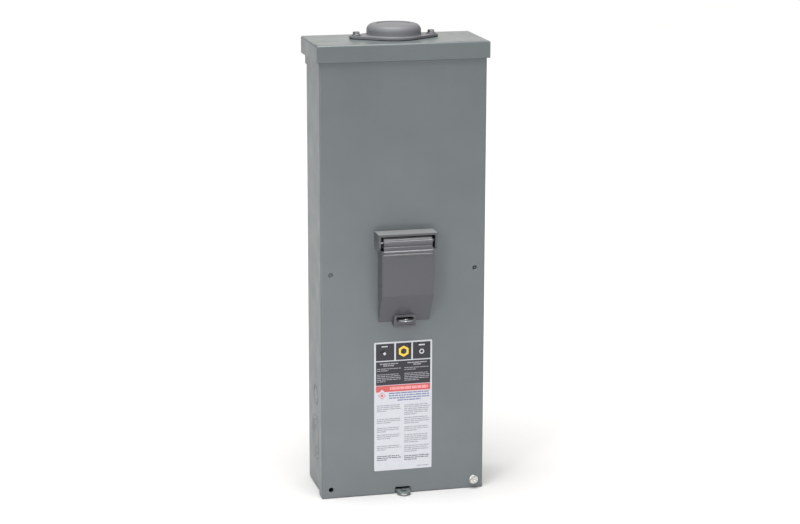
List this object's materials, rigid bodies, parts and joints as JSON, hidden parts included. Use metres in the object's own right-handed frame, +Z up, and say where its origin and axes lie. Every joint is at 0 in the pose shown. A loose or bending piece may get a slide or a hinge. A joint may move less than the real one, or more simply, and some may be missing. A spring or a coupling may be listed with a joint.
{
  "type": "circuit breaker enclosure",
  "caption": "Wall-mounted rainproof steel enclosure for a circuit breaker, with a hooded top, a hub closing cap, a screwed-on front cover and a lift-up handle door",
  "frame": {"origin": "centre of the four wall-screw holes, on the rear face that lies on the wall", "axes": "+Z up along the longest extent, -Y out of the front cover and away from the wall, +X to the right as seen from the front"},
  "size_m": [0.233, 0.1302, 0.637],
  "materials": {
    "grey_paint": "smooth grey enamel over sheet steel",
    "bezel_grey": "satin moulded grey",
    "cap_casting": "grey enamel on die-cast metal",
    "zinc_steel": "bright zinc plate",
    "galvanised_steel": "galvanised",
    "black_rubber": "matt",
    "label_film": "satin printed film",
    "breaker_case": "moulded thermoset",
    "breaker_inner": "phenolic",
    "toggle_black": "satin",
    "copper": "copper strap",
    "tin_aluminium": "tin-plated extrusion",
    "insulator": "moulded",
    "green_screws": "green-dyed plating"
  },
  "bodies": {
    "enclosure": {"back_box": "grey_paint", "top_hood": "grey_paint", "bottom_wall": "grey_paint", "cover_hasp_tab": "grey_paint", "corner_nut": "zinc_steel", "hub_gasket": "black_rubber", "hub_closing_cap": "cap_casting", "hub_screws": "zinc_steel", "hub_nuts": "zinc_steel", "mounting_pan": "galvanised_steel", "pan_screws": "zinc_steel", "breaker_base": "breaker_case", "breaker_cover": "breaker_case", "breaker_case_screws": "zinc_steel", "breaker_mounting_screws": "zinc_steel", "line_terminals": "copper", "load_terminals": "copper", "line_lugs": "tin_aluminium", "load_lugs": "tin_aluminium", "lug_screws": "zinc_steel", "arc_chutes": "galvanised_steel", "trip_units": "breaker_inner", "toggle_pin": "zinc_steel", "neutral_insulator": "insulator", "neutral_bar": "tin_aluminium", "neutral_screws": "zinc_steel", "neutral_mounting_screws": "zinc_steel", "ground_bar": "tin_aluminium", "ground_screws": "green_screws"},
    "cover": {"front_cover": "grey_paint", "rating_label": "label_film", "handle_bezel": "bezel_grey", "bezel_gasket": "black_rubber", "bezel_rivets": "zinc_steel", "door_staple": "zinc_steel", "staple_rivets": "zinc_steel", "hinge_pin": "zinc_steel"},
    "door": {"handle_door": "bezel_grey"},
    "toggle": {"breaker_toggle": "toggle_black"},
    "contacts": {"contact_crossbar": "breaker_inner", "contact_arms": "copper"},
    "screw_seat": {"cover_screw_washer": "zinc_steel"},
    "sealing_screw": {"cover_screw": "zinc_steel"}
  },
  "joints": [
    {"name": "cover_tilt", "type": "hinge", "parent": "enclosure", "child": "cover", "pos_m": [0, -0.10125, 0.2965], "axis": [-1, 0, 0], "range_deg": [0, 6]},
    {"name": "door_lift", "type": "hinge", "parent": "cover", "child": "door", "pos_m": [0, -0.1225, 0.0488], "axis": [-1, 0, 0], "range_deg": [0, 100]},
    {"name": "toggle_throw", "type": "hinge", "parent": "enclosure", "child": "toggle", "pos_m": [0, -0.07, 0], "axis": [1, 0, 0], "range_deg": [0, 36]},
    {"name": "contact_swing", "type": "hinge", "parent": "enclosure", "child": "contacts", "pos_m": [0, -0.05, -0.014], "axis": [1, 0, 0], "range_deg": [0, 30]},
    {"name": "cover_screw_travel", "type": "slide", "parent": "cover", "child": "screw_seat", "axis": [0, -1, 0], "range_m": [0, 0.0127]},
    {"name": "cover_screw_turn", "type": "hinge", "parent": "screw_seat", "child": "sealing_screw", "pos_m": [0.1, -0.102, -0.2966], "axis": [0, -1, 0], "range_deg": [0, 3600]}
  ],
  "couplings": [
    {"joint": "contact_swing", "follows": "toggle_throw", "ratio": 0.83333},
    {"joint": "cover_screw_turn", "follows": "cover_screw_travel", "rad_per_m": 4947}
  ]
}
